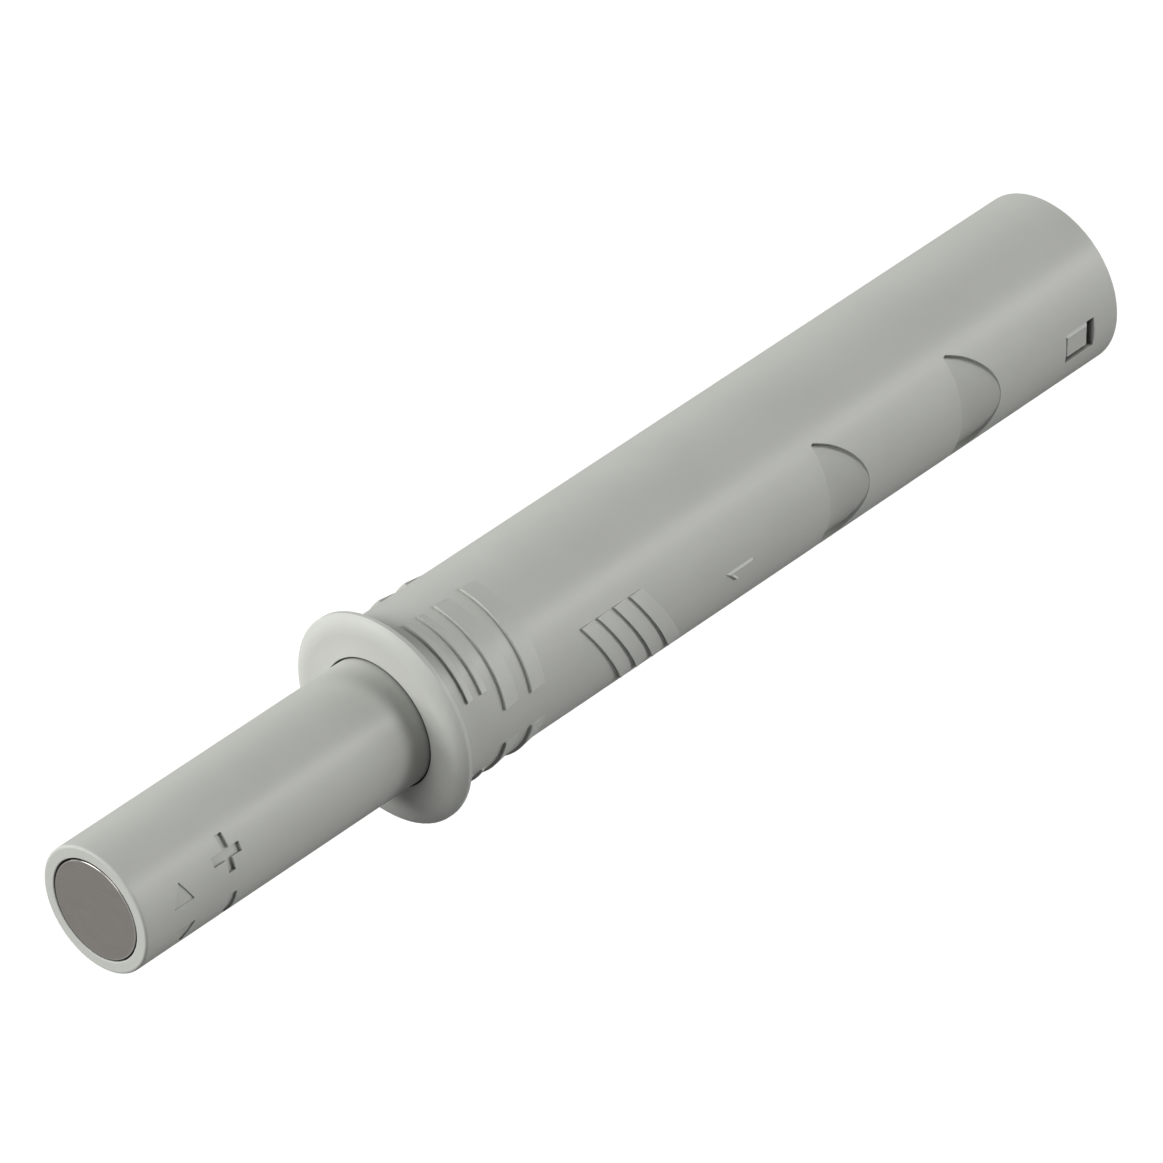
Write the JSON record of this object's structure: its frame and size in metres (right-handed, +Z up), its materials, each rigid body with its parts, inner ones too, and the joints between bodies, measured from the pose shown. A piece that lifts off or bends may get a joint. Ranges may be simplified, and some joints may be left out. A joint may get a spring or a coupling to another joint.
{
  "type": "push to open catch",
  "caption": "Round push-to-open catch for a drilled hole: flanged, barbed barrel with a sprung, latching plunger and a magnet in its adjustable tip.",
  "frame": {"origin": "centre of the flange's rear face, where it seats on the furniture's front edge, on the barrel's axis", "axes": "+Y along the barrel, into the hole; the plunger stands out along -Y; +X points at the middle of one row of crescent recesses, +Z is up"},
  "size_m": [0.0118, 0.0704, 0.0118],
  "materials": {
    "barrel_plastic": "light grey moulded plastic, fine matt grain",
    "plunger_plastic": "light grey moulded plastic, slightly smoother than the barrel",
    "slider_plastic": "natural white slippery plastic",
    "spring_steel": "drawn spring wire",
    "rod_steel": "ground steel rod",
    "magnet": "fine-ground grey magnet face"
  },
  "bodies": {
    "barrel": {"barrel": "barrel_plastic", "rear_cap": "barrel_plastic", "guide_rod": "rod_steel", "main_spring": "spring_steel"},
    "slider": {"cam_slider": "slider_plastic"},
    "follower": {"follower_wire": "spring_steel"},
    "magnet": {"magnet": "magnet"},
    "tip_sleeve": {"tip_sleeve": "plunger_plastic"}
  },
  "joints": [
    {"name": "plunger_slide", "type": "slide", "parent": "barrel", "child": "slider", "axis": [0, 1, 0], "range_m": [0, 0.0183], "stiffness_N_per_m": 645, "springref_m": -0.005, "deforming": ["main_spring"]},
    {"name": "follower_swing", "type": "hinge", "parent": "barrel", "child": "follower", "pos_m": [-0.00115, 0.0468, 0.00335], "axis": [0, 0, 1], "range_deg": [0, 6]},
    {"name": "tip_adjust", "type": "slide", "parent": "slider", "child": "magnet", "axis": [0, -1, 0], "range_m": [-0.001, 0.004]},
    {"name": "tip_turn", "type": "hinge", "parent": "magnet", "child": "tip_sleeve", "pos_m": [0, 0, 0], "axis": [0, -1, 0], "range_deg": [-145, 577]}
  ],
  "couplings": [
    {"joint": "tip_turn", "follows": "tip_adjust", "rad_per_m": 2513.3}
  ]
}
